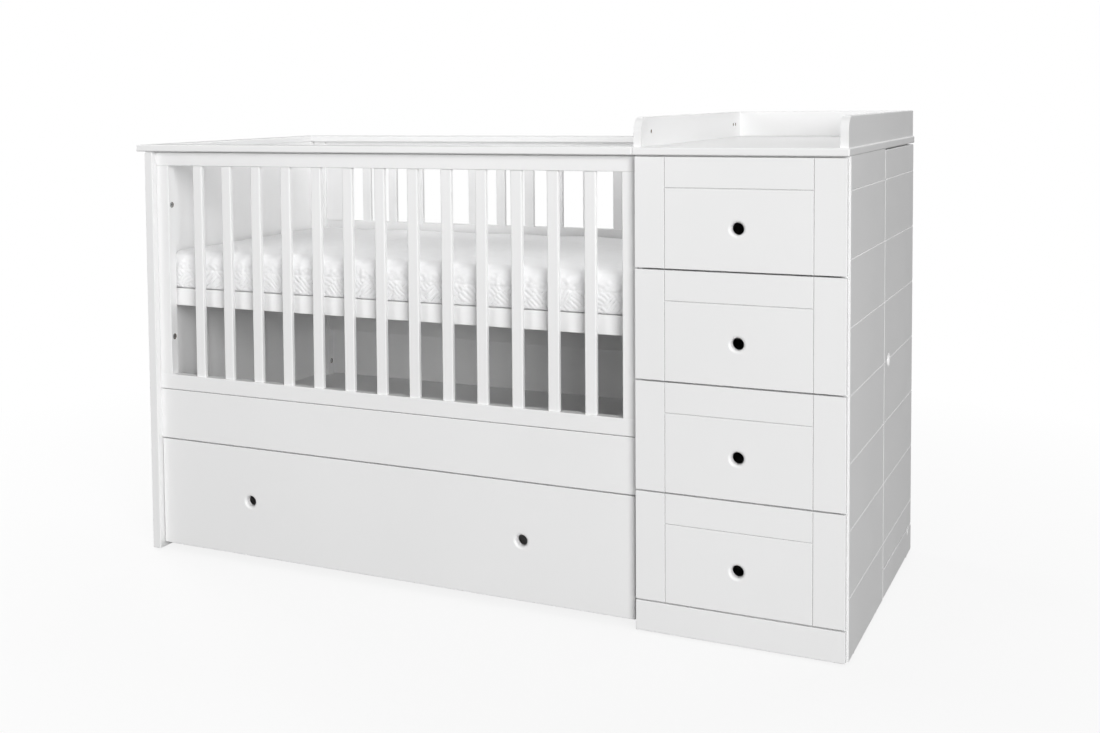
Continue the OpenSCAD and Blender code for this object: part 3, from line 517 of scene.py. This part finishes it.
def make_floor():
    """A pale floor that shows as white and keeps a faint shadow."""
    mesh = bpy.data.meshes.new("floor")
    r = FLOOR_HALF
    mesh.from_pydata([(-r, -r, 0), (r, -r, 0), (r, r, 0), (-r, r, 0)], [], [(0, 1, 2, 3)])
    floor = bpy.data.objects.new("floor", mesh)
    scene.collection.objects.link(floor)
    material, tree, shader = new_material("floor")
    shader.inputs["Roughness"].default_value = 0.9
    rays = background_rays(tree)
    tone = add(tree, "ShaderNodeMapRange", To_Min=FLOOR_BOUNCE, To_Max=FLOOR_TONE)
    tree.links.new(rays, tone.inputs["Value"])
    tree.links.new(tone.outputs["Result"], shader.inputs["Base Color"])
    # Away from the object the floor turns into the white of the backdrop
    place = tree.nodes.new("ShaderNodeTexCoord")
    distance = tree.nodes.new("ShaderNodeVectorMath")
    distance.operation = "LENGTH"
    tree.links.new(place.outputs["Object"], distance.inputs[0])
    share = add(tree, "ShaderNodeMapRange", From_Min=FADE_FROM, From_Max=FADE_TO,
                To_Min=FLOOR_WHITE, To_Max=1.0)
    tree.links.new(distance.outputs["Value"], share.inputs["Value"])
    seen = combine(tree, "MULTIPLY", share.outputs["Result"], rays)
    white = add(tree, "ShaderNodeEmission", Color=(1, 1, 1, 1), Strength=1.0)
    mix_surfaces(tree, seen, shader.outputs["BSDF"], white.outputs["Emission"], "Material Output")
    mesh.materials.append(material)


def make_world():
    """An even studio: white as a background, and at the plain light level otherwise."""
    world = bpy.data.worlds.new("studio")
    world.use_nodes = True
    tree = world.node_tree
    level = tree.nodes["Background"]
    level.inputs["Color"].default_value = (1, 1, 1, 1)
    level.inputs["Strength"].default_value = WORLD_LEVEL
    white = add(tree, "ShaderNodeBackground", Color=(1, 1, 1, 1), Strength=1.0)
    mix_surfaces(tree, background_rays(tree), level.outputs["Background"],
                 white.outputs["Background"], "World Output")
    scene.world = world


def area_light(name, place, aim, width, height, power):
    """A rectangular lamp that looks from its place at its aim."""
    data = bpy.data.lights.new(name, "AREA")
    data.shape = "RECTANGLE"
    data.size = width
    data.size_y = height
    data.energy = power
    light = bpy.data.objects.new(name, data)
    light.location = place
    light.rotation_euler = (Vector(aim) - Vector(place)).to_track_quat("-Z", "Y").to_euler()
    scene.collection.objects.link(light)


def make_camera():
    """The photograph's camera, with its frame shifted to where the photograph's axis lies."""
    data = bpy.data.cameras.new("camera")
    data.sensor_width = SENSOR_MM
    data.lens = FOCAL_PX * SENSOR_MM / PHOTO_W
    data.shift_x = (PHOTO_W / 2 - AXIS_PX[0]) / PHOTO_W
    data.shift_y = -(PHOTO_H / 2 - AXIS_PX[1]) / PHOTO_W
    data.clip_end = VIEW_LIMIT
    camera = bpy.data.objects.new("camera", data)
    turn = Matrix.Rotation(math.radians(CAMERA_TURN), 4, "Z")
    pitch = Matrix.Rotation(math.radians(90 + CAMERA_PITCH), 4, "X")
    roll = Matrix.Rotation(math.radians(-CAMERA_ROLL), 4, "Z")
    camera.matrix_world = Matrix.Translation(CAMERA_AT) @ turn @ pitch @ roll
    scene.collection.objects.link(camera)
    scene.camera = camera


scene.view_settings.view_transform = "Standard"
dress_cad_nodes()
for drilled in DRILLED:
    bare_bores(drilled)
make_mattress()
make_floor()
make_world()
for lamp in LAMPS:
    area_light(*lamp)
make_camera()

bpy.context.view_layer.update()
